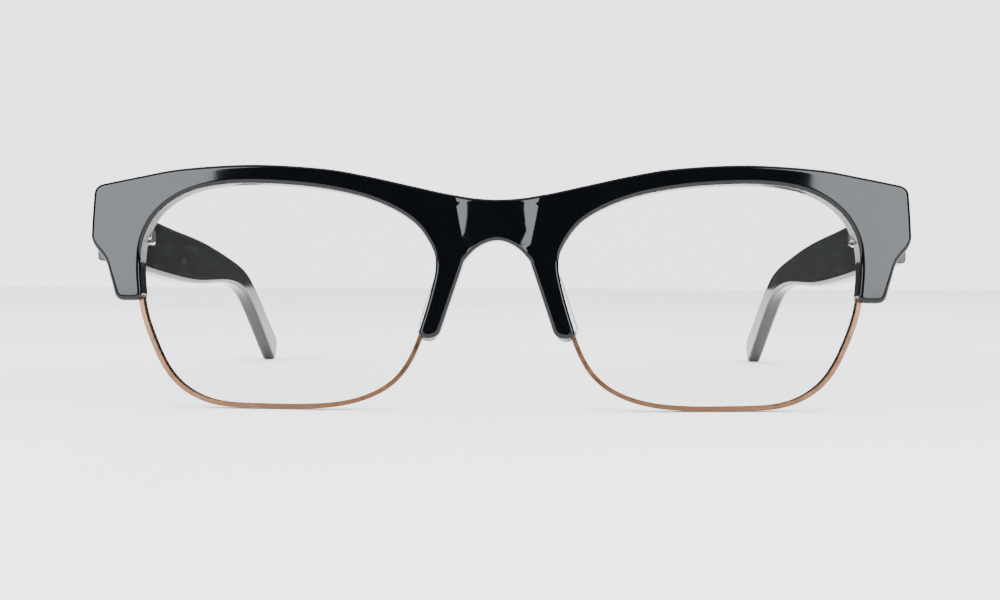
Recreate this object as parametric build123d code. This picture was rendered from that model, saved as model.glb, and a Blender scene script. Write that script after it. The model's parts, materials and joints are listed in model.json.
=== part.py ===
from build123d import *
import math
import os

# Half rim eyeglasses in millimetres. While the pieces are made, x runs across the face from the
# middle plane, y runs back from the front of the bridge and z runs up from the lowest point of
# the rims. The left side is the wearer's left, at +x, and the right side is its mirror image.
# The last section folds the temples, leans the front back and stands the glasses on z = 0.

# ---- Front: a curved slab of acetate with two lens openings --------------------------------
BASE_CURVE_RADIUS = 400.0
FRONT_THICKNESS = 4.0
OPENING_BEVEL = 0.75

# Lens opening of the left side, seen from the front, as a closed smooth curve of (x, z).
OPENING = [
    (61.0, 24.5), (60.3, 29.3), (57.6, 33.5), (52.6, 36.6), (46.0, 37.9), (38.0, 37.9),
    (29.0, 37.0), (21.0, 35.1), (14.6, 31.9), (11.3, 28.0), (10.2, 24.3), (11.2, 19.0),
    (13.3, 12.0), (17.0, 5.6), (23.0, 2.2), (31.0, 0.95), (41.0, 0.95), (49.0, 1.8),
    (54.7, 5.25), (58.4, 11.4), (60.6, 18.3),
]
# Top edge from the middle plane to the corner of the end piece.
TOP_EDGE = [
    (0.0, 35.3), (7.0, 35.85), (14.3, 37.4), (21.9, 39.1), (29.5, 40.4), (41.3, 41.15),
    (53.3, 40.65), (61.0, 39.5), (69.35, 38.05),
]
END_SIDE = [(69.35, 38.05), (69.75, 33.0), (70.0, 28.3)]
END_BOTTOM_Z = 18.3
NECK = [(70.0, 28.3), (67.5, 25.4), (66.4, 22.2), (65.3, END_BOTTOM_Z)]
LEG_BOTTOM_Z = 12.0
LEG_NOSE_BOTTOM_X = 9.75
LEG_NOSE_TOP = (6.0, 23.3)
ARCH = [LEG_NOSE_TOP, (5.3, 25.1), (3.0, 27.4), (0.0, 28.4)]
CORNER_ROUNDINGS = [
    (TOP_EDGE[-1], 1.1), (NECK[0], 0.9), (NECK[-1], 0.8), ((LEG_NOSE_BOTTOM_X, LEG_BOTTOM_Z), 0.8),
]

# Hollow across the front of the bridge: a leaning cylinder, deeper at the top.
SCOOP_RADIUS = 18.0
SCOOP_TOP = (7.3, 35.8)
SCOOP_FOOT = (5.4, 26.3)

# ---- Lenses and the metal rims under them --------------------------------------------------
LENS_DEPTHS = (1.2, 2.8)
LENS_BEVEL_DEPTHS = (1.7, 2.3)
LENS_BEVEL = 0.45
GROOVE_DEPTHS = (1.65, 2.35)
GROOVE = 0.5
RIM_DEPTHS = (1.05, 2.95)
RIM_WIDTH = 0.8
RIM_TEMPORAL_TOP = 20.6
RIM_NASAL_TOP = 13.6
TAB_SIZE = (2.6, 4.2)
TAB_CORNER = (61.5, 19.0)
TAB_DEPTHS = (2.95, 4.08)
TAB_SCREW_SHIFT = (0.1, 0.5)
RIM_SCREW_RADIUS = 0.5
RIM_SCREW_START = 1.2
RIM_SCREW_HEAD = (0.95, 0.5)

# ---- Nose pads -----------------------------------------------------------------------------
PAD_WIDTH = 3.6
PAD_LENGTH = 12.6
PAD_CENTRE = (10.15, 17.6)
PAD_HEIGHT = 4.2
PAD_SPLAY = 1.1
PAD_TAPER = (1.4, 0.9)
PAD_ROUNDING = 1.0

# ---- Spring hinge --------------------------------------------------------------------------
PIVOT_X = 64.9
PIVOT_Y = 11.6
HINGE_Z = 30.6
KNUCKLE_RADIUS = 1.25
KNUCKLE_HEIGHT = 1.0
EYELET_HEIGHT = 1.2
WASHER_THICKNESS = 0.12
RUNNING_GAP = 0.04
SCREW_RADIUS = 0.6
LEAF_SIZE = (6.4, 0.9, 4.6)
LEAF_CENTRE = (63.0, 8.75)
LEAF_TURN = 9.2
RIVET_RADIUS = 0.5
RIVET_OFFSET = (2.2, 1.35)
RIVET_REACH = (1.5, 0.25)
HINGE_SCREW_HEAD = (1.05, 0.55)
SCREW_SLOT = (0.3, 0.27)
ROD_RADIUS = 0.48
ROD_END = 9.9
COLLAR = (1.75, 2.95)
COLLAR_SIZE = (2.2, 2.6)
HOUSING = (3.0, 11.9)
HOUSING_SIDES = (-1.2, 1.65)
HOUSING_HEIGHT = 2.9
SPRING_BORE_RADIUS = 1.0
SPRING_START = 4.1
SPRING_LENGTH = 4.3
SPRING_RADIUS = 0.74
SPRING_WIRE_RADIUS = 0.14
SPRING_TURNS = 7
STOP_LENGTH = 1.0

# ---- Temples -------------------------------------------------------------------------------
TEMPLE_INNER = 1.4
TEMPLE_THICKNESS = 3.8
TEMPLE_TIP_THICKNESS = 3.2
TEMPLE_ROUNDING = 0.7
TEMPLE_TAPER_START = 20.0
END_GAP = 0.15
# Middle line of the left temple: distance back from the pivot, height, half its width.
TEMPLE_LINE = [
    (-2.4, 30.55, 5.1), (15.0, 29.7, 5.1), (35.0, 29.0, 5.0), (52.0, 28.8, 4.8),
    (66.0, 28.8, 4.05), (79.0, 28.6, 3.15), (91.0, 27.8, 2.7), (101.0, 25.9, 2.62),
    (111.0, 21.8, 2.75), (124.0, 15.4, 3.1), (137.2, 9.0, 3.45),
]
TIP_CORNER_RADIUS = 2.4
CORE_RADIUS = 0.6
CORE_PATH = [(16.0, 29.5), (60.0, 28.8), (94.0, 27.9), (127.0, 14.0)]
CORE_BEND_RADIUS = 14.0

# ---- Rest position -------------------------------------------------------------------------
LEFT_REST_FOLD = 0.0
RIGHT_REST_FOLD = 0.0


def at(x, z):
    """A point of the front's outline, drawn on the plane y = 0."""
    return Vector(x, 0, z)


def flat_face(pieces):
    """The flat face inside a closed run of lines and curves."""
    edges = []
    for piece in pieces:
        edges += piece.edges()
    return Face(Wire.combine(edges)[0])


def through(face):
    """The face carried from well in front of the frame to well behind it."""
    return extrude(face.moved(Location((0, -2, 0))), amount=16, dir=(0, 1, 0))


def band(front_depth, back_depth):
    """A sheet that follows the base curve between two depths behind the front surface."""
    half_width, low, height = 75.0, -5.0, 60.0

    def arc(depth):
        radius = BASE_CURVE_RADIUS - depth
        sag = radius - math.sqrt(radius**2 - half_width**2)
        ends = depth + sag
        return (
            Vector(-half_width, ends, low),
            Vector(0, depth, low),
            Vector(half_width, ends, low),
        )

    front = arc(front_depth)
    back = arc(back_depth)
    outline = [
        ThreePointArc(*front),
        Line(front[2], back[2]),
        ThreePointArc(*back),
        Line(back[0], front[0]),
    ]
    return extrude(flat_face(outline), amount=height, dir=(0, 0, 1))


def opening_curve(outward):
    """The lens opening's outline grown outward by a distance, as one smooth closed curve."""
    outline = Spline([at(x, z) for x, z in OPENING], periodic=True)
    if outward == 0:
        return outline
    steps = 56
    points = []
    for i in range(steps):
        place = outline.position_at(i / steps)
        along = outline.tangent_at(i / steps)
        points.append(place + Vector(along.Z, 0, -along.X) * outward)
    return Spline(points, periodic=True)


def opening_prism(outward):
    return through(flat_face([opening_curve(outward)]))


def ring(inner, outer, depths):
    """A strip around the lens opening, between two sizes and two depths."""
    return (opening_prism(outer) - opening_prism(inner)) & band(*depths)


def box_between(low, high):
    size = [h - l for l, h in zip(low, high)]
    middle = [(l + h) / 2 for l, h in zip(low, high)]
    return Box(*size).moved(Location(middle))


def rod(radius, start, end):
    """A cylinder between two points."""
    start, end = Vector(*start), Vector(*end)
    way = end - start
    return Plane(start, z_dir=way) * Cylinder(
        radius, way.length, align=(Align.CENTER, Align.CENTER, Align.MIN)
    )


def mirrored(shape):
    return mirror(shape, about=Plane.YZ)


def try_fillet(shape, edges, radius):
    """Round the edges, or leave them sharp where the rounding can't be built."""
    try:
        rounded = fillet(edges, radius)
        if rounded.is_valid and rounded.volume > 0:
            return rounded
    except Exception as problem:
        print("left sharp:", problem)
    return shape


# ---- The acetate front ---------------------------------------------------------------------
def front_outline():
    """The outside contour of the front. Its corners are rounded once it is a solid."""
    leg_foot = (LEG_NOSE_BOTTOM_X, LEG_BOTTOM_Z)
    leg_rise = (LEG_NOSE_TOP[0] - leg_foot[0], 0, LEG_NOSE_TOP[1] - leg_foot[1])
    under = [NECK[-1], (57.0, END_BOTTOM_Z), (40.0, 18.0), (18.0, LEG_BOTTOM_Z), leg_foot]
    half = [
        Spline([at(x, z) for x, z in TOP_EDGE], tangents=[(1, 0, 0), (1, 0, -0.2)]),
        Spline([at(x, z) for x, z in END_SIDE]),
        Spline([at(x, z) for x, z in NECK]),
        Polyline([at(x, z) for x, z in under]),
        Line(at(*leg_foot), at(*LEG_NOSE_TOP)),
        Spline([at(x, z) for x, z in ARCH], tangents=[leg_rise, (-1, 0, 0)]),
    ]
    return flat_face(half + [mirrored(piece) for piece in half])


def round_corners(slab):
    """Round the corners of the contour, seen from the front."""
    for corner, radius in CORNER_ROUNDINGS:
        for sign in (1, -1):
            spot = Vector(sign * corner[0], 0, corner[1])
            edges = [e for e in slab.edges() if is_corner(e, spot)]
            slab = try_fillet(slab, edges, radius)
    return slab


def is_corner(edge, spot):
    """Short edges that run from front to back beside a spot on the contour."""
    middle = edge.position_at(0.5)
    runs_back = abs(edge.tangent_at(0.5).Y) > 0.9
    return runs_back and math.hypot(middle.X - spot.X, middle.Z - spot.Z) < 0.3


def bridge_scoop():
    """The leaning cylinder that hollows the front of the bridge."""
    depths = []
    for half_width, height in (SCOOP_TOP, SCOOP_FOOT):
        depths.append(SCOOP_RADIUS - math.sqrt(SCOOP_RADIUS**2 - half_width**2))
    rise = SCOOP_TOP[1] - SCOOP_FOOT[1]
    slope = (depths[0] - depths[1]) / rise
    low, high = -10.0, 50.0
    foot_y = depths[1] - SCOOP_RADIUS + slope * (low - SCOOP_FOOT[1])
    top_y = depths[1] - SCOOP_RADIUS + slope * (high - SCOOP_FOOT[1])
    return rod(SCOOP_RADIUS, (0, foot_y, low), (0, top_y, high))


def brow_front(pockets):
    slab = round_corners(through(front_outline()) & band(0, FRONT_THICKNESS))
    slab = slab - opening_prism(0) - mirrored(opening_prism(0))
    slab = slab - bridge_scoop()
    bevel = [e for e in slab.edges() if on_opening_front(e)]
    try:
        bevelled = chamfer(bevel, OPENING_BEVEL, OPENING_BEVEL)
        slab = bevelled if bevelled.is_valid else slab
    except Exception as problem:
        print("bevel left out:", problem)
    for pocket in pockets:
        slab = slab - pocket
    return slab


def depth_of(point):
    """How far a point lies behind the front's curved surface."""
    return BASE_CURVE_RADIUS - math.hypot(point.X, BASE_CURVE_RADIUS - point.Y)


def on_opening_front(edge):
    """Front edges of the two lens openings."""
    middle = edge.position_at(0.5)
    if abs(depth_of(middle)) > 0.05 or middle.Z < 5:
        return False
    outline = opening_curve(0)
    nearest = outline.distance_to(Vector(abs(middle.X), 0, middle.Z))
    return nearest < 0.05


# ---- Lenses, rims, tabs and nose pads ------------------------------------------------------
def lens():
    body = opening_prism(-0.02) & band(*LENS_DEPTHS)
    bevel = opening_prism(LENS_BEVEL) & band(*LENS_BEVEL_DEPTHS)
    return body + bevel


def groove():
    return ring(-0.2, GROOVE, GROOVE_DEPTHS)


def lower_rim():
    """The metal channel that carries the lens from end piece to nasal leg."""
    channel = ring(0, RIM_WIDTH, RIM_DEPTHS) - groove()
    kept = [
        (70.0, -3.0), (70.0, RIM_TEMPORAL_TOP), (40.0, RIM_TEMPORAL_TOP),
        (30.0, RIM_NASAL_TOP), (5.0, RIM_NASAL_TOP), (5.0, -3.0),
    ]
    region = through(flat_face([Polyline([at(x, z) for x, z in kept], close=True)]))
    return channel & region


def tab_at(depths, margin):
    """The plate that joins the rim to the end piece, with a margin all round."""
    x, z = TAB_CORNER
    low = (x - margin, -2, z - margin)
    high = (x + TAB_SIZE[0] + margin, 14, z + TAB_SIZE[1] + margin)
    return box_between(low, high) & band(*depths)


def tab_screw_line():
    x = TAB_CORNER[0] + TAB_SIZE[0] / 2 + TAB_SCREW_SHIFT[0]
    z = TAB_CORNER[1] + TAB_SIZE[1] / 2 + TAB_SCREW_SHIFT[1]
    sag = BASE_CURVE_RADIUS - math.sqrt(BASE_CURVE_RADIUS**2 - x**2)
    return x, sag, z


def rim_screw():
    x, sag, z = tab_screw_line()
    seat = sag + TAB_DEPTHS[1]
    radius, height = RIM_SCREW_HEAD
    half_slot, slot_depth = SCREW_SLOT[0] / 2, SCREW_SLOT[1]
    slot_floor = seat + height - slot_depth
    shank = rod(RIM_SCREW_RADIUS, (x, sag + RIM_SCREW_START, z), (x, seat, z))
    head = rod(radius, (x, seat, z), (x, seat + height, z))
    slot = box_between((x - 2, slot_floor, z - half_slot), (x + 2, seat + 1, z + half_slot))
    return shank + head - slot


def nose_pad():
    """A rounded acetate pad bonded to the back of a nasal leg, leaning away from the nose."""
    x, z = PAD_CENTRE
    leg_rise = LEG_NOSE_TOP[1] - LEG_BOTTOM_Z
    lean = math.degrees(math.atan2(leg_rise, LEG_NOSE_BOTTOM_X - LEG_NOSE_TOP[0]))
    foot_plane = Plane((x, FRONT_THICKNESS + 0.1, z), x_dir=(1, 0, 0), z_dir=(0, 1, 0))
    top_plane = foot_plane.offset(PAD_HEIGHT)
    foot = foot_plane * Rot(0, 0, lean) * SlotOverall(PAD_LENGTH, PAD_WIDTH)
    narrowed = SlotOverall(PAD_LENGTH - PAD_TAPER[0], PAD_WIDTH - PAD_TAPER[1])
    top = top_plane * Pos(PAD_SPLAY, 0) * Rot(0, 0, lean) * narrowed
    pad = loft([foot, top])
    back_y = FRONT_THICKNESS + PAD_HEIGHT - 0.2
    back = [e for e in pad.edges() if e.position_at(0.5).Y > back_y]
    pad = try_fillet(pad, back, PAD_ROUNDING)
    return pad - band(0, FRONT_THICKNESS)


# ---- Spring hinge, with the temple open ----------------------------------------------------
def washer_levels():
    """Bottom and top of the upper washer, above the hinge's middle."""
    bottom = EYELET_HEIGHT / 2 + RUNNING_GAP
    return bottom, bottom + WASHER_THICKNESS


def knuckle_levels():
    """Bottom and top of the upper knuckle, above the hinge's middle."""
    bottom = washer_levels()[1]
    return bottom, bottom + KNUCKLE_HEIGHT


def pivot_rod(radius, low, high):
    return rod(radius, (PIVOT_X, PIVOT_Y, HINGE_Z + low), (PIVOT_X, PIVOT_Y, HINGE_Z + high))


def leaf_plate():
    x, y = LEAF_CENTRE
    return Box(*LEAF_SIZE).moved(Location((x, y, HINGE_Z), (0, 0, LEAF_TURN)))


def hinge_front_leaf(rivets):
    bottom, top = knuckle_levels()
    leaf = leaf_plate()
    arm_side = KNUCKLE_RADIUS - 0.1
    for low, high in ((bottom, top), (-top, -bottom)):
        barrel = pivot_rod(KNUCKLE_RADIUS, low, high)
        arm = box_between(
            (PIVOT_X - arm_side, LEAF_CENTRE[1], HINGE_Z + low),
            (PIVOT_X + arm_side, PIVOT_Y, HINGE_Z + high),
        )
        leaf = leaf + barrel + arm
    return leaf - pivot_rod(SCREW_RADIUS, -top - 1, top + 1) - rivets


def hinge_rivets():
    x, y = LEAF_CENTRE
    across = x - RIVET_OFFSET[0]
    rivets = []
    for height in (RIVET_OFFSET[1], -RIVET_OFFSET[1]):
        start = (across, y - RIVET_REACH[0], HINGE_Z + height)
        end = (across, y + RIVET_REACH[1], HINGE_Z + height)
        rivets.append(rod(RIVET_RADIUS, start, end))
    return rivets


def hinge_screw():
    top = knuckle_levels()[1]
    radius, height = HINGE_SCREW_HEAD
    half_slot, slot_depth = SCREW_SLOT[0] / 2, SCREW_SLOT[1]
    shank = pivot_rod(SCREW_RADIUS, -top - 0.1, top)
    head = pivot_rod(radius, top, top + height)
    slot = box_between(
        (PIVOT_X - 2, PIVOT_Y - half_slot, HINGE_Z + top + height - slot_depth),
        (PIVOT_X + 2, PIVOT_Y + half_slot, HINGE_Z + top + height + 1),
    )
    return shank + head - slot


def hinge_washers():
    bottom, top = washer_levels()
    washers = []
    for low, high in ((bottom, top), (-top, -bottom)):
        washers.append(pivot_rod(KNUCKLE_RADIUS, low, high) - pivot_rod(SCREW_RADIUS, low, high))
    return washers


def along_arm(start, end, sides, height):
    """A box on the arm's line, from one distance behind the pivot to another."""
    return box_between(
        (PIVOT_X + sides[0], PIVOT_Y + start, HINGE_Z - height / 2),
        (PIVOT_X + sides[1], PIVOT_Y + end, HINGE_Z + height / 2),
    )


def arm_rod(radius, start, end):
    return rod(radius, (PIVOT_X, PIVOT_Y + start, HINGE_Z), (PIVOT_X, PIVOT_Y + end, HINGE_Z))


def hinge_slider():
    """Eyelet, collar and rod in one piece: the rod slides in the housing."""
    eyelet = pivot_rod(KNUCKLE_RADIUS, -EYELET_HEIGHT / 2, EYELET_HEIGHT / 2)
    half = COLLAR_SIZE[0] / 2
    neck = along_arm(0.3, COLLAR[0] + 0.2, (-0.8, 0.8), EYELET_HEIGHT)
    collar = along_arm(*COLLAR, (-half, half), COLLAR_SIZE[1])
    shaft = arm_rod(ROD_RADIUS, COLLAR[0] + 0.5, ROD_END)
    bore = pivot_rod(SCREW_RADIUS + RUNNING_GAP, -3, 3)
    return eyelet + neck + collar + shaft - bore


def hinge_spring():
    """The coil that draws the collar back against the housing."""
    pitch = SPRING_LENGTH / SPRING_TURNS
    path = Helix(pitch, SPRING_LENGTH, SPRING_RADIUS)
    start = path.position_at(0)
    section = Plane(start, z_dir=path.tangent_at(0)) * Circle(SPRING_WIRE_RADIUS)
    coil = sweep(section, path=path, is_frenet=True)
    turned = coil.rotate(Axis.X, -90)
    return turned.moved(Location((PIVOT_X, PIVOT_Y + SPRING_START + SPRING_WIRE_RADIUS, HINGE_Z)))


def spring_stop():
    """The collar riveted on the end of the rod, which the spring pushes on."""
    start = ROD_END - STOP_LENGTH
    return arm_rod(SPRING_BORE_RADIUS - 0.08, start, ROD_END) - arm_rod(ROD_RADIUS, start, ROD_END)


def hinge_housing():
    block = along_arm(*HOUSING, HOUSING_SIDES, HOUSING_HEIGHT)
    inner = block.faces().sort_by(Axis.X)[0]
    block = chamfer(inner.edges(), 0.45)
    cavity = arm_rod(SPRING_BORE_RADIUS, SPRING_START, HOUSING[1] - 0.5)
    mouth = arm_rod(ROD_RADIUS + RUNNING_GAP, HOUSING[0] - 0.5, SPRING_START + 0.5)
    return block - cavity - mouth


# ---- Temples -------------------------------------------------------------------------------
def beside(line, index, sign):
    """A point on the temple's upper or lower edge, square to its middle line."""
    before = line[max(index - 1, 0)]
    after = line[min(index + 1, len(line) - 1)]
    run, rise = after[0] - before[0], after[1] - before[1]
    length = math.hypot(run, rise)
    s, z, half = line[index]
    return s - sign * half * rise / length, z + sign * half * run / length


def temple_outline():
    def place(point):
        return Vector(PIVOT_X + TEMPLE_INNER, PIVOT_Y + point[0], point[1])

    count = len(TEMPLE_LINE)
    upper = [place(beside(TEMPLE_LINE, i, 1)) for i in range(count)]
    lower = [place(beside(TEMPLE_LINE, i, -1)) for i in range(count)]
    tail = Vector(0, 1, -0.47)
    top = Spline(upper, tangents=[(0, 1, -0.04), tail])
    bottom = Spline(lower, tangents=[(0, 1, -0.04), tail])
    tip = Line(upper[-1], lower[-1])
    end = Line(lower[0], upper[0])
    return flat_face([top, tip, bottom, end])


def temple_core():
    """The metal wire inside the acetate of the temple."""
    x = PIVOT_X + TEMPLE_INNER + TEMPLE_THICKNESS * 0.46
    points = [(x, PIVOT_Y + s, z) for s, z in CORE_PATH]
    path = FilletPolyline(*points, radius=CORE_BEND_RADIUS)
    section = Plane(points[0], z_dir=path.tangent_at(0)) * Circle(CORE_RADIUS)
    return sweep(section, path=path)


def temple(cutters):
    arm = extrude(temple_outline(), amount=TEMPLE_THICKNESS, dir=(1, 0, 0))
    tip_start = PIVOT_Y + TEMPLE_LINE[-1][0] - TEMPLE_LINE[-1][2]
    tip_corners = [e for e in arm.edges() if is_sideways(e) and e.position_at(0.5).Y > tip_start]
    arm = try_fillet(arm, tip_corners, TIP_CORNER_RADIUS)
    outer = PIVOT_X + TEMPLE_INNER + TEMPLE_THICKNESS
    thinner = TEMPLE_THICKNESS - TEMPLE_TIP_THICKNESS
    taper_start, beyond_tip = PIVOT_Y + TEMPLE_TAPER_START, PIVOT_Y + 150
    wedge = [
        Vector(outer, taper_start, 0),
        Vector(outer + 1, taper_start, 0),
        Vector(outer + 1, beyond_tip, 0),
        Vector(outer - thinner, beyond_tip, 0),
    ]
    arm = arm - extrude(flat_face([Polyline(wedge, close=True)]), amount=50, dir=(0, 0, 1))
    long_edges = [e for e in arm.edges() if e.length > 5]
    arm = try_fillet(arm, long_edges, TEMPLE_ROUNDING)
    inside, outside = PIVOT_X + TEMPLE_INNER - 1, outer + 1
    mitre = [
        Vector(inside, 5, 0),
        Vector(outside, 5, 0),
        Vector(outside, end_gap_y(outside), 0),
        Vector(inside, end_gap_y(inside), 0),
    ]
    arm = arm - extrude(flat_face([Polyline(mitre, close=True)]), amount=50, dir=(0, 0, 1))
    for cutter in cutters:
        arm = arm - cutter
    return arm


def is_sideways(edge):
    return abs(edge.tangent_at(0.5).X) > 0.9


def end_gap_y(x):
    """Where the temple's front end stands, just behind the back of the end piece."""
    back = BASE_CURVE_RADIUS - math.sqrt((BASE_CURVE_RADIUS - FRONT_THICKNESS) ** 2 - x**2)
    return back + END_GAP


# ---- Assembly ------------------------------------------------------------------------------
def left_side():
    """Every piece of the left side except the front, with the body each one belongs to."""
    rivets = hinge_rivets()
    housing = hinge_housing()
    core = temple_core()
    whole_housing = along_arm(*HOUSING, HOUSING_SIDES, HOUSING_HEIGHT)
    return {
        "lower_rim": ("front", [lower_rim()]),
        "rim_tab": ("front", [tab_at(TAB_DEPTHS, 0) - rim_screw()]),
        "rim_screw": ("front", [rim_screw()]),
        "lens": ("front", [lens()]),
        "nose_pad": ("front", [nose_pad()]),
        "hinge_front_leaf": ("front", [hinge_front_leaf(rivets)]),
        "hinge_rivets": ("front", rivets),
        "hinge_screw": ("front", [hinge_screw()]),
        "hinge_washers": ("front", hinge_washers()),
        "hinge_slider": ("arm", [hinge_slider()]),
        "hinge_spring": ("arm", [hinge_spring()]),
        "spring_stop": ("arm", [spring_stop()]),
        "hinge_housing": ("arm", [housing]),
        "temple_core": ("arm", [core]),
        "temple": ("arm", [temple([core, whole_housing])]),
    }


def front_pockets(pieces):
    """What the pieces of one side need cut out of the front."""
    rivets = pieces["hinge_rivets"][1]
    pockets = [groove(), pieces["lower_rim"][1][0], leaf_plate(), *rivets]
    pockets += [tab_at((TAB_DEPTHS[0], FRONT_THICKNESS + 1), 0.05), pieces["rim_screw"][1][0]]
    return pockets


def lowest(shapes, lean):
    return min(shape.rotate(Axis.X, -lean).bounding_box().min.Z for shape in shapes)


def standing_lean(rims, temples):
    """The lean, in degrees, that puts the rims and the temple tips on one level."""
    small, large = 0.0, 10.0
    for _ in range(14):
        lean = (small + large) / 2
        if lowest(temples, lean) > lowest(rims, lean):
            small = lean
        else:
            large = lean
    return (small + large) / 2


def main():
    os.makedirs("parts", exist_ok=True)
    pieces = left_side()
    pockets = front_pockets(pieces)
    pockets += [mirrored(p) for p in pockets]
    nodes = {"brow_front": ("front", [brow_front(pockets)])}
    for name, (body, solids) in pieces.items():
        nodes["left_" + name] = (body, solids)
        nodes["right_" + name] = (body, [mirrored(s) for s in solids])

    folds = {"left": LEFT_REST_FOLD, "right": -RIGHT_REST_FOLD}
    pivots = {"left": PIVOT_X, "right": -PIVOT_X}
    for name, (body, solids) in nodes.items():
        side = name.split("_")[0]
        if body == "arm" and folds[side]:
            hinge_line = Axis((pivots[side], PIVOT_Y, HINGE_Z), (0, 0, 1))
            nodes[name] = (body, [s.rotate(hinge_line, folds[side]) for s in solids])

    rims = nodes["left_lower_rim"][1] + nodes["right_lower_rim"][1]
    temples = nodes["left_temple"][1] + nodes["right_temple"][1]
    lean = standing_lean(rims, temples)
    leaned = {}
    for name, (body, solids) in nodes.items():
        leaned[name] = Compound([s.rotate(Axis.X, -lean) for s in solids])
    boxes = [shape.bounding_box() for shape in leaned.values()]
    lift = -min(b.min.Z for b in boxes)
    forward = (min(b.min.Y for b in boxes) + max(b.max.Y for b in boxes)) / 2
    for name, shape in leaned.items():
        export_step(shape.moved(Location((0, -forward, lift))), f"parts/{name}.step")
    print("lean", lean, "forward", forward, "lift", lift)
    return lean, forward, lift


if __name__ == "__main__":
    main()
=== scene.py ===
import bmesh
import bpy
import json
import math
from mathutils import Matrix, Vector
from mathutils.geometry import delaunay_2d_cdt


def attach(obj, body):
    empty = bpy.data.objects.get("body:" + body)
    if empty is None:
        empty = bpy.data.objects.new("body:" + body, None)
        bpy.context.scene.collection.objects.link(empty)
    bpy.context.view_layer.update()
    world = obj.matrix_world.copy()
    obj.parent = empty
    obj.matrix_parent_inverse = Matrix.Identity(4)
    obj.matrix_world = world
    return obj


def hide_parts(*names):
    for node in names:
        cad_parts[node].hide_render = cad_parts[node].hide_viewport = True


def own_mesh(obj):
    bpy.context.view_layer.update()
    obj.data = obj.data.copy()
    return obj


# Looks of the half rim eyeglasses. The acetate front is built here with rounded edges; every other
# piece keeps its CAD shape and gets its finish. The studio is a pale floor under even white light,
# with a soft box overhead and one at each side in front, which the glossy acetate mirrors.

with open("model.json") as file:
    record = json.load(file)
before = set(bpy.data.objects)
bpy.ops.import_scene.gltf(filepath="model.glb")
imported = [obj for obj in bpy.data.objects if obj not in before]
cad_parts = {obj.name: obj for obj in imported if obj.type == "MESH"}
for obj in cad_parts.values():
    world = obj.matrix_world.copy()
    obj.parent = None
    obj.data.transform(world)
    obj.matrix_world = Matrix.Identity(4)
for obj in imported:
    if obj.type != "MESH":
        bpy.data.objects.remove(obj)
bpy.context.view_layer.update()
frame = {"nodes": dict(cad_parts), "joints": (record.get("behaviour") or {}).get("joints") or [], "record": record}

MM = 0.001
joints = {joint["name"]: joint for joint in frame["joints"]}

# ---- The front's own directions: it leans back a little as the glasses stand -----------------
UP = Vector(joints["left_temple_fold"]["axis"])
BACK = Vector(joints["left_spring_slide"]["axis"])
ACROSS = Vector((1, 0, 0))
PIVOT = Vector(joints["left_temple_fold"]["pos_m"])
PIVOT_ON_FRONT = Vector((64.9, 11.6, 30.6))
FRONT_TURN = Matrix((ACROSS, BACK, UP)).transposed()

# ---- The polished front, in millimetres: half its contour as runs of (x, z), middle to middle ----
TOP_EDGE = [
    (0.0, 35.3), (7.0, 35.85), (14.3, 37.4), (21.9, 39.1), (29.5, 40.4), (41.3, 41.15),
    (53.3, 40.65), (61.0, 39.5), (69.35, 38.05),
]
END_SIDE = [(69.35, 38.05), (69.75, 33.0), (70.0, 28.3)]
NECK = [(70.0, 28.3), (67.5, 25.4), (66.4, 22.2), (65.3, 18.3)]
END_BOTTOM = [(65.3, 18.3), (60.6, 18.3)]
OPENING = [
    (60.6, 18.3), (61.0, 24.5), (60.3, 29.3), (57.6, 33.5), (52.6, 36.6), (46.0, 37.9),
    (38.0, 37.9), (29.0, 37.0), (21.0, 35.1), (14.6, 31.9), (11.3, 28.0), (10.2, 24.3),
    (11.2, 19.0), (13.3, 12.0),
]
LEG_BOTTOM = [(13.3, 12.0), (9.75, 12.0)]
LEG_SIDE = [(9.75, 12.0), (6.0, 23.3), (5.3, 25.1), (3.0, 27.4), (0.0, 28.4)]
RUNS = [TOP_EDGE, END_SIDE, NECK, END_BOTTOM, OPENING, LEG_BOTTOM, LEG_SIDE]
CORNER_RADIUS = 1.35
CORNER_STEPS = 6
POINT_SPACING = 0.45
BASE_CURVE = 400.0
THICKNESS = 4.0
FRONT_ROUNDING = 0.62
BACK_ROUNDING = 0.45
ROUNDING_STEPS = 6
FLAT_MARGIN = 0.22
GRID = 1.3
GRID_COLUMNS = range(-54, 55)
GRID_LEVELS = range(8, 33)
GRID_CLEARANCE = 0.7
SCOOP_RADIUS = 18.0
SCOOP_FOOT_DEPTH = 0.829
SCOOP_FOOT_HEIGHT = 26.3
SCOOP_SLOPE = 0.0756
SCOOP_REACH = 12.0
CREASE_LEVELS = (24.7, 36.0)
CREASE_STEP = 0.5
CREASE_CLEARANCE = 0.5

# ---- Finishes ---------------------------------------------------------------------------------
EDGE_SOFTNESS = 0.25 * MM
BLACK_ACETATE = (0.0010, 0.0012, 0.0017)
CLEAR_ACETATE = (0.86, 0.91, 0.89)
LENS_TINT = (0.030, 0.036, 0.036)
COPPER = (0.21, 0.105, 0.060)
HINGE_METAL = (0.62, 0.60, 0.55)
SCREW_METAL = (0.58, 0.57, 0.55)
SPRING_METAL = (0.45, 0.45, 0.46)
CORE_METAL = (0.60, 0.58, 0.55)
WASHER_WHITE = (0.78, 0.78, 0.76)
FLOOR_WHITE = (0.94, 0.94, 0.94)

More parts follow.
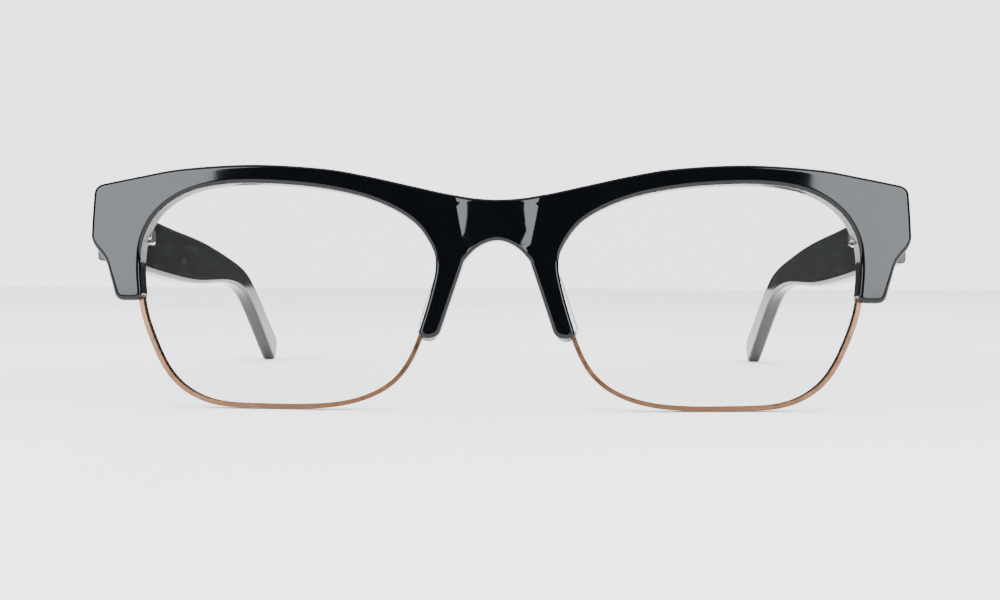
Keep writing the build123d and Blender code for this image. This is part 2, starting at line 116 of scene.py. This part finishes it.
# ---- Studio -------------------------------------------------------------------------------------
CAMERA_DISTANCE = 210.0
CAMERA_HEIGHT = 11.0
CAMERA_YAW = math.radians(1.5)
CAMERA_ROLL = math.radians(0.3)
CAMERA_LENS = 45.72
CAMERA_SHIFT = (0.0035, 0.045)
WORLD_WHITE = 3.0
MIRRORED_BACK = 0.14
MIRRORED_FRONT = 0.03
OVERHEAD_SPOT = (0, 0.15, 0.95)
OVERHEAD_SIZE = (1.4, 1.4)
OVERHEAD_RADIANCE = 1.0
SIDE_BOX_ANGLE = math.radians(41.0)
SIDE_BOX_DISTANCE = 0.9
SIDE_BOX_HEIGHT = 0.34
SIDE_BOX_AIM = (0, 0, 0.05)
SIDE_BOX_SIZE = (0.42, 0.54)
SIDE_BOX_RADIANCE = 12.5
SIDE_BOX_TINT = (0.93, 1.0, 1.03)


def place(x, y, z):
    """A point given in millimetres on the front, in metres in the row frame."""
    return PIVOT + FRONT_TURN @ ((Vector((x, y, z)) - PIVOT_ON_FRONT) * MM)


def joined(tree, source, target):
    tree.links.new(source, target)


def noise(tree, coordinates, size, detail=4.0):
    """Noise whose patches are about that many metres across."""
    node = tree.nodes.new("ShaderNodeTexNoise")
    node.inputs["Scale"].default_value = 1.0 / size
    node.inputs["Detail"].default_value = detail
    joined(tree, coordinates, node.inputs["Vector"])
    return node.outputs["Fac"]


def spread(tree, value, low, high):
    """A noise value stretched to run from low to high."""
    node = tree.nodes.new("ShaderNodeMapRange")
    node.inputs["From Min"].default_value = 0.3
    node.inputs["From Max"].default_value = 0.7
    node.inputs["To Min"].default_value = low
    node.inputs["To Max"].default_value = high
    joined(tree, value, node.inputs["Value"])
    return node.outputs["Result"]


def finish(name, color, roughness, patch, grain, bump, metallic=0.0, mottle=0.0, soft=0.0):
    """A surface with its own drift in gloss, a fine grain and, if asked, softened edges.

    roughness is (low, high), patch and grain are the sizes of the gloss patches and of the
    grain in metres, bump is the grain's strength and mottle how much the colour drifts.
    """
    material = bpy.data.materials.new(name)
    material.use_nodes = True
    tree = material.node_tree
    shader = tree.nodes["Principled BSDF"]
    shader.inputs["Metallic"].default_value = metallic
    spots = tree.nodes.new("ShaderNodeTexCoord").outputs["Object"]
    patches = noise(tree, spots, patch)
    joined(tree, spread(tree, patches, *roughness), shader.inputs["Roughness"])

    tint = tree.nodes.new("ShaderNodeValToRGB")
    tint.color_ramp.elements[0].color = (*[c * (1 - mottle) for c in color], 1)
    tint.color_ramp.elements[1].color = (*[min(1.0, c * (1 + mottle)) for c in color], 1)
    joined(tree, patches, tint.inputs["Fac"])
    joined(tree, tint.outputs["Color"], shader.inputs["Base Color"])

    relief = tree.nodes.new("ShaderNodeBump")
    relief.inputs["Strength"].default_value = bump
    relief.inputs["Distance"].default_value = 0.05 * MM
    joined(tree, noise(tree, spots, grain), relief.inputs["Height"])
    if soft:
        edge = tree.nodes.new("ShaderNodeBevel")
        edge.samples = 8
        edge.inputs["Radius"].default_value = soft
        joined(tree, edge.outputs["Normal"], relief.inputs["Normal"])
    joined(tree, relief.outputs["Normal"], shader.inputs["Normal"])
    return material


def socket(material, name, value):
    material.node_tree.nodes["Principled BSDF"].inputs[name].default_value = value


def black_acetate():
    """Polished black acetate, with faint buffing marks and softened edges."""
    material = finish(
        "black_acetate", BLACK_ACETATE, (0.035, 0.075), 9 * MM, 0.6 * MM, 0.010,
        mottle=0.25, soft=EDGE_SOFTNESS,
    )
    socket(material, "IOR", 1.49)
    socket(material, "Specular IOR Level", 0.3)
    return material


def clear_acetate():
    """The nose pads: clear, slightly hazy acetate."""
    material = finish(
        "clear_acetate", CLEAR_ACETATE, (0.06, 0.14), 3 * MM, 0.5 * MM, 0.04,
        mottle=0.04, soft=0.2 * MM,
    )
    socket(material, "Transmission Weight", 0.85)
    socket(material, "IOR", 1.49)
    return material


def clear_lens():
    """Coated clear plastic: almost nothing straight on, a sheen at a glancing angle."""
    material = finish(
        "clear_lens", LENS_TINT, (0.01, 0.03), 12 * MM, 4 * MM, 0.004, mottle=0.01,
    )
    socket(material, "IOR", 1.5)
    socket(material, "Specular IOR Level", 0.05)
    tree = material.node_tree
    glance = tree.nodes.new("ShaderNodeLayerWeight")
    glance.inputs["Blend"].default_value = 0.25
    cover = tree.nodes.new("ShaderNodeMapRange")
    cover.inputs["To Min"].default_value = 0.03
    cover.inputs["To Max"].default_value = 0.10
    joined(tree, glance.outputs["Facing"], cover.inputs["Value"])
    joined(tree, cover.outputs["Result"], tree.nodes["Principled BSDF"].inputs["Alpha"])
    return material


def metal(name, color, roughness, bump=0.06):
    """Machined or drawn metal with a fine grain."""
    return finish(
        name, color, roughness, 2 * MM, 0.25 * MM, bump, metallic=1.0, mottle=0.12, soft=0.08 * MM,
    )


def finishes():
    """The material of each slot in the record."""
    return {
        "black_acetate": black_acetate(),
        "clear_acetate": clear_acetate(),
        "clear_lens": clear_lens(),
        "copper_rim": metal("copper_rim", COPPER, (0.16, 0.30)),
        "hinge_steel": metal("hinge_steel", HINGE_METAL, (0.08, 0.16), bump=0.015),
        "screw_steel": metal("screw_steel", SCREW_METAL, (0.18, 0.34)),
        "spring_steel": metal("spring_steel", SPRING_METAL, (0.25, 0.42)),
        "core_wire": metal("core_wire", CORE_METAL, (0.28, 0.45)),
        "washer_plastic": finish(
            "washer_plastic", WASHER_WHITE, (0.4, 0.6), 1 * MM, 0.2 * MM, 0.1, mottle=0.03,
        ),
    }


# ---- The polished front ------------------------------------------------------------------------
def curve_through(points):
    """Points every half millimetre or so on a smooth curve through the given ones."""
    points = [Vector(p) for p in points]
    before = [beyond(points[0], points[1])] + points[:-1]
    after = points[1:] + [beyond(points[-1], points[-2])]
    slopes = [(b - a) / 2 for a, b in zip(before, after)]
    curve = []
    for i in range(len(points) - 1):
        start, end = points[i], points[i + 1]
        steps = max(1, round((end - start).length / POINT_SPACING))
        for step in range(steps):
            t = step / steps
            rise = t * t * (3 - 2 * t)
            leave = t * (1 - t) ** 2
            arrive = -t * t * (1 - t)
            curve.append(start.lerp(end, rise) + slopes[i] * leave + slopes[i + 1] * arrive)
    return curve + [points[-1]]


def beyond(end, neighbour):
    """Where a run would go on past its end: mirrored at the middle plane, else straight."""
    if end.x == 0:
        return Vector((-neighbour.x, neighbour.y))
    return 2 * end - neighbour


def trimmed(run, cut_start, cut_end):
    """A run without the stretches near its ends, to leave room for the corners."""
    first, last = run[0], run[-1]
    kept = run
    if cut_start:
        kept = [p for p in kept if (p - first).length > CORNER_RADIUS]
    if cut_end:
        kept = [p for p in kept if (p - last).length > CORNER_RADIUS]
    return kept


def rounded_corner(before, corner, after):
    """Points of a soft turn from one run into the next."""
    turn = []
    for step in range(1, CORNER_STEPS):
        t = step / CORNER_STEPS
        turn.append(before.lerp(corner, t).lerp(corner.lerp(after, t), t))
    return turn


def half_contour():
    """The contour from the middle of the top to the middle of the arch, at x >= 0."""
    curves = [curve_through(run) for run in RUNS]
    last = len(curves) - 1
    kept = [trimmed(run, i > 0, i < last) for i, run in enumerate(curves)]
    contour = []
    for i, run in enumerate(kept):
        contour += run
        if i < last:
            contour += rounded_corner(run[-1], curves[i][-1], kept[i + 1][0])
    return contour


def contour():
    """The whole contour as one closed loop, clockwise as seen from the front."""
    half = half_contour()
    other = [Vector((-p.x, p.y)) for p in reversed(half[1:-1])]
    return half + other


def inward(loop):
    """For each point of the loop, the direction into the slab."""
    directions = []
    for i, point in enumerate(loop):
        along = loop[(i + 1) % len(loop)] - loop[i - 1]
        directions.append(Vector((along.y, -along.x)).normalized())
    return directions


def scoop_depth(x, z):
    """How far back the hollow of the bridge reaches, or less than nothing outside it."""
    across = SCOOP_RADIUS - math.sqrt(SCOOP_RADIUS**2 - min(abs(x), SCOOP_REACH) ** 2)
    return SCOOP_FOOT_DEPTH + SCOOP_SLOPE * (z - SCOOP_FOOT_HEIGHT) - across


def base_depth(x, depth=0.0):
    """Where a surface that deep in the slab stands, behind the front of the bridge."""
    return BASE_CURVE - math.sqrt((BASE_CURVE - depth) ** 2 - x**2)


def front_depth(x, z):
    return max(base_depth(x), scoop_depth(x, z))


def on_crease(spot):
    """Whether the hollow's surface meets the front's at this point."""
    return abs(scoop_depth(spot.x, spot.y) - base_depth(spot.x)) < 1e-3


def scoop_half_width(z):
    """How far from the middle the hollow runs out into the front's surface, found by halving."""
    inside, outside = 0.0, 10.0
    for _ in range(30):
        x = (inside + outside) / 2
        if scoop_depth(x, z) > base_depth(x):
            inside = x
        else:
            outside = x
    return inside


def scoop_edge():
    """Rows of points on both edges of the hollow, where the surface has a crease."""
    rows = []
    for side in (1, -1):
        row = []
        z = CREASE_LEVELS[0]
        while z < CREASE_LEVELS[1]:
            row.append(Vector((side * scoop_half_width(z), z)))
            z += CREASE_STEP
        rows.append(row)
    return rows


def within(point, loop):
    """Whether a point lies inside a closed loop."""
    crossings = 0
    for i, b in enumerate(loop):
        a = loop[i - 1]
        if (a.y > point.y) != (b.y > point.y):
            if point.x < a.x + (point.y - a.y) / (b.y - a.y) * (b.x - a.x):
                crossings += 1
    return crossings % 2 == 1


def filled(loop, rows):
    """Triangles inside the loop, on a fine grid, with edges kept along the rows of points.

    Returns the points used, the triangles, and for each point the numbers of the points it
    stands for, where the loop's own points come first.
    """
    points = list(loop)
    edges = [(i, (i + 1) % len(loop)) for i in range(len(loop))]
    taken = loop[::2]

    def is_free(spot, clearance):
        return within(spot, loop) and min((spot - t).length for t in taken) > clearance

    for row in rows:
        row = [p for p in row if is_free(p, CREASE_CLEARANCE)]
        start = len(points)
        points += row
        edges += [(i, i + 1) for i in range(start, len(points) - 1)]
        taken += row
    for column in GRID_COLUMNS:
        for level in GRID_LEVELS:
            spot = Vector((column * GRID, level * GRID))
            if is_free(spot, GRID_CLEARANCE):
                points.append(spot)
    only_inside = 1
    outline = [list(range(len(loop)))]
    found = delaunay_2d_cdt(points, edges, outline, only_inside, 1e-5)
    spots, triangles, origins = found[0], found[2], found[3]
    return spots, triangles, origins


def polished_front():
    """Points, faces and crease point numbers of the front with its edges rounded all round."""
    loop = contour()
    into = inward(loop)
    count = len(loop)
    points, faces, creases = [], [], set()

    def add_ring(inset, depth_at):
        ring = [p + d * inset for p, d in zip(loop, into)]
        points.extend(place(p.x, depth_at(p.x, p.y), p.y) for p in ring)
        start = len(points) - count
        if start:
            for i in range(count):
                j = (i + 1) % count
                faces.append((start - count + i, start - count + j, start + j, start + i))
        return ring

    quarter = [math.pi / 2 * i / ROUNDING_STEPS for i in range(ROUNDING_STEPS + 1)]
    front_ring = add_ring(FRONT_ROUNDING + FLAT_MARGIN, front_depth)
    for angle in quarter:
        inset = FRONT_ROUNDING * (1 - math.sin(angle))
        drop = FRONT_ROUNDING * (1 - math.cos(angle))
        add_ring(inset, lambda x, z: front_depth(x, z) + drop)
    for angle in reversed(quarter):
        inset = BACK_ROUNDING * (1 - math.sin(angle))
        drop = BACK_ROUNDING * (1 - math.cos(angle))
        add_ring(inset, lambda x, z: base_depth(x, THICKNESS) - drop)
    back_ring = add_ring(BACK_ROUNDING + FLAT_MARGIN, lambda x, z: base_depth(x, THICKNESS))
    back_start = len(points) - count

    def add_fill(ring, ring_start, rows, depth_at):
        spots, triangles, origins = filled(ring, rows)
        numbers = []
        for spot, origin in zip(spots, origins):
            on_ring = [o for o in origin if o < count]
            if on_ring:
                numbers.append(ring_start + on_ring[0])
            else:
                numbers.append(len(points))
                if rows and on_crease(spot):
                    creases.add(len(points))
                points.append(place(spot.x, depth_at(spot.x, spot.y), spot.y))
        faces.extend(tuple(numbers[i] for i in triangle) for triangle in triangles)

    add_fill(front_ring, 0, scoop_edge(), front_depth)
    add_fill(back_ring, back_start, [], lambda x, z: base_depth(x, THICKNESS))
    return points, faces, creases


def build_front(acetate):
    """The piece itself, shown in place of the CAD front."""
    points, faces, creases = polished_front()
    mesh = bpy.data.meshes.new("polished_front")
    mesh.from_pydata(points, [], faces)
    shape = bmesh.new()
    shape.from_mesh(mesh)
    bmesh.ops.recalc_face_normals(shape, faces=shape.faces)
    for edge in shape.edges:
        edge.smooth = not all(vertex.index in creases for vertex in edge.verts)
    shape.to_mesh(mesh)
    shape.free()
    for face in mesh.polygons:
        face.use_smooth = True
    piece = bpy.data.objects.new("polished_front", mesh)
    bpy.context.collection.objects.link(piece)
    even = piece.modifiers.new("even_normals", "WEIGHTED_NORMAL")
    even.keep_sharp = True
    piece.data.materials.append(acetate)
    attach(piece, "front")
    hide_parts("brow_front")


def dress_pieces():
    """Give each CAD piece the finish of its material slot."""
    materials = finishes()
    for part in frame["record"]["subparts"]:
        piece = frame["nodes"][part["node"]]
        piece.data.materials.clear()
        piece.data.materials.append(materials[part["material_slot"]])
    return materials


# ---- Springs -----------------------------------------------------------------------------------
def springs():
    """Each coil gets its own copy of its mesh and keeps its CAD shape."""
    for side, sign in (("left", 1), ("right", -1)):
        coil = frame["nodes"][side + "_hinge_spring"]
        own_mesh(coil)


# ---- Floor, light and camera ----------------------------------------------------------------
def floor():
    """A pale flat sheet that runs far back under the glasses."""
    near, far, half_width = -3.0, 9.0, 8.0
    corners = [(-half_width, near), (half_width, near), (half_width, far), (-half_width, far)]
    sheet = bpy.data.meshes.new("floor")
    sheet.from_pydata([(x, y, 0.0) for x, y in corners], [], [(0, 1, 2, 3)])
    ground = bpy.data.objects.new("floor", sheet)
    bpy.context.collection.objects.link(ground)
    paper = finish("floor", FLOOR_WHITE, (0.55, 0.75), 0.2, 2 * MM, 0.02, mottle=0.005)
    ground.data.materials.append(paper)


def soft_box(name, spot, aim, size, radiance, tint=(1, 1, 1)):
    """A rectangular lamp of a given width, height and brightness, turned towards a point."""
    lamp = bpy.data.lights.new(name, "AREA")
    lamp.shape = "RECTANGLE"
    lamp.size, lamp.size_y = size
    lamp.color = tint
    lamp.energy = radiance * math.pi * size[0] * size[1]
    holder = bpy.data.objects.new(name, lamp)
    bpy.context.collection.objects.link(holder)
    holder.location = spot
    holder.rotation_euler = (Vector(aim) - Vector(spot)).to_track_quat("-Z", "Y").to_euler()


def lights():
    soft_box("overhead", OVERHEAD_SPOT, (0, 0, 0), OVERHEAD_SIZE, OVERHEAD_RADIANCE)
    across = SIDE_BOX_DISTANCE * math.sin(SIDE_BOX_ANGLE)
    forward = SIDE_BOX_DISTANCE * math.cos(SIDE_BOX_ANGLE)
    for side, name in ((1, "left_side"), (-1, "right_side")):
        spot = (side * across, -forward, SIDE_BOX_HEIGHT)
        soft_box(name, spot, SIDE_BOX_AIM, SIDE_BOX_SIZE, SIDE_BOX_RADIANCE, SIDE_BOX_TINT)


def backdrop():
    """Even white to look at and to light the floor, but dimmer in reflections, most in front."""
    world = bpy.data.worlds.new("studio")
    bpy.context.scene.world = world
    world.use_nodes = True
    tree = world.node_tree
    direction = tree.nodes.new("ShaderNodeTexCoord").outputs["Generated"]
    split = tree.nodes.new("ShaderNodeSeparateXYZ")
    joined(tree, direction, split.inputs["Vector"])
    dim = tree.nodes.new("ShaderNodeMapRange")
    dim.interpolation_type = "SMOOTHSTEP"
    dim.inputs["From Min"].default_value = -0.55
    dim.inputs["From Max"].default_value = 0.15
    dim.inputs["To Min"].default_value = MIRRORED_FRONT
    dim.inputs["To Max"].default_value = MIRRORED_BACK
    joined(tree, split.outputs["Y"], dim.inputs["Value"])
    strength = tree.nodes.new("ShaderNodeMix")
    strength.inputs["A"].default_value = WORLD_WHITE
    reflected = tree.nodes.new("ShaderNodeLightPath").outputs["Is Glossy Ray"]
    joined(tree, reflected, strength.inputs["Factor"])
    joined(tree, dim.outputs["Result"], strength.inputs["B"])
    joined(tree, strength.outputs["Result"], tree.nodes["Background"].inputs["Strength"])
    tree.nodes["Background"].inputs["Color"].default_value = (1, 1, 1, 1)


def camera():
    """Level with the lower half of the front, 0.2 m away and almost straight on."""
    optics = bpy.data.cameras.new("camera")
    optics.lens = CAMERA_LENS
    optics.sensor_width = 36
    optics.shift_x, optics.shift_y = CAMERA_SHIFT
    optics.clip_start = 0.01
    eye = bpy.data.objects.new("camera", optics)
    bpy.context.collection.objects.link(eye)
    sideways, forwards = math.sin(CAMERA_YAW), math.cos(CAMERA_YAW)
    spot = place(CAMERA_DISTANCE * sideways, -CAMERA_DISTANCE * forwards, CAMERA_HEIGHT)
    look = -sideways * ACROSS + forwards * BACK
    right = look.cross(UP).normalized()
    level = Matrix((right, UP, -look)).transposed().to_4x4()
    eye.matrix_world = Matrix.Translation(spot) @ level @ Matrix.Rotation(CAMERA_ROLL, 4, "Z")
    bpy.context.scene.camera = eye


materials = dress_pieces()
build_front(materials["black_acetate"])
springs()
floor()
lights()
backdrop()
camera()
